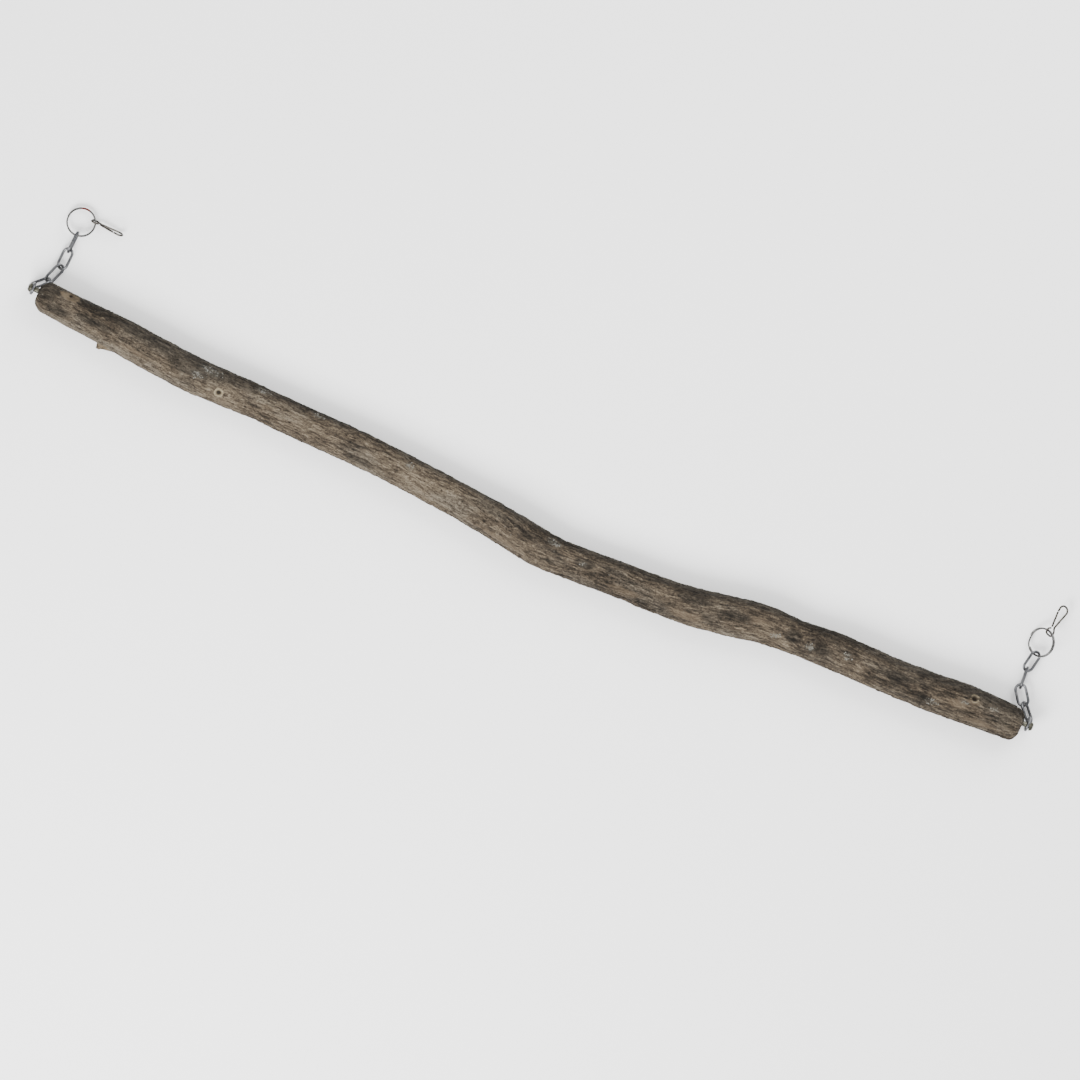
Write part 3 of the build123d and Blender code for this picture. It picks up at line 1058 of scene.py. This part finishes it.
lens = add(crust, "GeometryNodeMeshUVSphere", {"Segments": 8, "Rings": 4, "Radius": 1.0}).outputs[0]
lens_inputs = {"Geometry": lens, "Scale": (1.0, 1.0, lens_flatness)}
flat_lens = add(crust, "GeometryNodeTransform", lens_inputs).outputs[0]
size = add(crust, "FunctionNodeRandomValue", data_type="FLOAT")
least, greatest = [socket for socket in size.inputs if socket.enabled][:2]
feed(crust, least, asked["Least size"])
feed(crust, greatest, asked["Greatest size"])
feed(crust, size.inputs["Seed"], asked["Seed"])
placed_inputs = {
    "Points": scatter.outputs["Points"],
    "Instance": flat_lens,
    "Rotation": scatter.outputs["Rotation"],
    "Scale": shown(size),
}
placed = add(crust, "GeometryNodeInstanceOnPoints", placed_inputs).outputs[0]
close_tree(crust, placed, lichen_finish)

lichen_mesh = grown(branch_bark, crust, lichen_inputs, crust_ids, "lichen_crust")
lichen_crust = bpy.data.objects.new("lichen_crust", lichen_mesh)
scene.collection.objects.link(lichen_crust)
lichen_mesh.shade_smooth()
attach(lichen_crust, "branch")
print(len(lichen_mesh.polygons), "faces of lichen")

# %% [markdown]
# The chain links are zinc plated, and the split rings and snap hooks nickel plated. Plating on small wire
# is never even: it is duller where it was handled and darker in spots. One recipe with noise for the
# colour, the roughness and a faint bump gives all of them, with their own colours.

# %% Metal finishes
platings = {
    # bright colour, dull colour, roughness where bright, roughness where dull
    "link_zinc": ((186, 187, 190), (134, 135, 139), 0.28, 0.46),
    "ring_nickel": ((172, 171, 169), (122, 120, 118), 0.22, 0.40),
    "hook_nickel": ((146, 141, 134), (94, 89, 83), 0.26, 0.44),
    "screw_zinc": ((160, 157, 142), (106, 104, 92), 0.34, 0.54),
}


def plated_finish(name, bright, dull, bright_roughness, dull_roughness):
    finish, tree, shader = new_finish(name)
    spot = add(tree, "ShaderNodeTexCoord").outputs["Object"]
    handled = spread(tree, noise(tree, spot, scale=210.0, detail=3.0, roughness=0.6), 0.36, 0.66)
    spots = noise(tree, spot, scale=1700.0, detail=3.0, roughness=0.6)
    colour = blend_colour(tree, handled, seen_colour(*bright), seen_colour(*dull))
    dark_spots = spread(tree, spots, 0.56, 0.72, 0.0, 0.55)
    colour = blend_colour(tree, dark_spots, colour, seen_colour(70, 68, 66))
    tree.links.new(colour, shader.inputs["Base Color"])
    shader.inputs["Metallic"].default_value = 1.0
    rough_inputs = {0: handled, 3: bright_roughness, 4: dull_roughness}
    rough = add(tree, "ShaderNodeMapRange", rough_inputs).outputs[0]
    tree.links.new(rough, shader.inputs["Roughness"])
    dents = add(tree, "ShaderNodeBump", {"Height": spots, "Strength": 0.25, "Distance": 0.0002})
    tree.links.new(dents.outputs[0], shader.inputs["Normal"])
    return finish, tree, shader, colour, rough


finishes = {name: plated_finish(name, *plating)[0] for name, plating in platings.items()}
print("metal finishes:", ", ".join(finishes))

# %% [markdown]
# The left ring has a small rust-red stain on the side away from the branch. It is a soft ball round one
# point, broken up by noise, in a copy of the ring's finish. Rust is no metal and is matt, so it changes
# both of those as well as the colour.

# %% Rust on the left ring
ring_arc = 0.0132
stain_angle = math.radians(93)
stain_edge = (0.0066, 0.0096)  # distance of the full rust with its noise, and distance where it ends
stain_ragged = 0.008
rust_roughness = 0.9

stained_nickel, ring_look, ring_shader, ring_colour, ring_rough = plated_finish(
    "stained_nickel", *platings["ring_nickel"]
)
ring_low, ring_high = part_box("left_split_ring")
ring_middle = (ring_low + ring_high) / 2
stain_place = ring_middle + Vector((math.cos(stain_angle), math.sin(stain_angle), 0)) * ring_arc
rust_spot = add(ring_look, "ShaderNodeTexCoord").outputs["Object"]
rust_ends = {0: rust_spot, 1: tuple(stain_place)}
rust_away = add(ring_look, "ShaderNodeVectorMath", rust_ends, operation="DISTANCE").outputs["Value"]
rust_noise = noise(ring_look, rust_spot, scale=1300.0, detail=3.0, roughness=0.6)
rust_edge = number(ring_look, "ADD", rust_away, number(ring_look, "MULTIPLY", rust_noise, stain_ragged))
rust_share = spread(ring_look, rust_edge, *stain_edge, 0.95, 0.0)
rust_depth = spread(ring_look, rust_noise, 0.40, 0.62)
rust_colour = blend_colour(ring_look, rust_depth, seen_colour(156, 44, 30), seen_colour(84, 36, 27))
stained_colour = blend_colour(ring_look, rust_share, ring_colour, rust_colour)
rust_rough = number(ring_look, "MULTIPLY", rust_share, rust_roughness)
stained_rough = number(ring_look, "MAXIMUM", ring_rough, rust_rough)
stained_metal = spread(ring_look, rust_share, 0.0, 0.9, 1.0, 0.25)
ring_look.links.new(stained_colour, ring_shader.inputs["Base Color"])
ring_look.links.new(stained_rough, ring_shader.inputs["Roughness"])
ring_look.links.new(stained_metal, ring_shader.inputs["Metallic"])
print(f"rust at ({stain_place.x:.4f}, {stain_place.y:.4f})")

# %% [markdown]
# The screws, links, rings, hooks and gates keep the shapes of the CAD model. Each node gets the finish of
# its kind, the same at both ends apart from the stained ring.

# %% Give the CAD pieces their finishes
links_on_a_side = 5
piece_finish = {}
for side in ("left", "right"):
    piece_finish[f"{side}_screw"] = finishes["screw_zinc"]
    for count in range(1, links_on_a_side + 1):
        piece_finish[f"{side}_link_{count}"] = finishes["link_zinc"]
    piece_finish[f"{side}_split_ring"] = finishes["ring_nickel"]
    piece_finish[f"{side}_snap_hook"] = finishes["hook_nickel"]
    piece_finish[f"{side}_hook_gate"] = finishes["hook_nickel"]
piece_finish["left_split_ring"] = stained_nickel
for name, finish in piece_finish.items():
    mesh = frame["nodes"][name].data
    mesh.materials.clear()
    mesh.materials.append(finish)
print(len(piece_finish), "metal pieces finished")
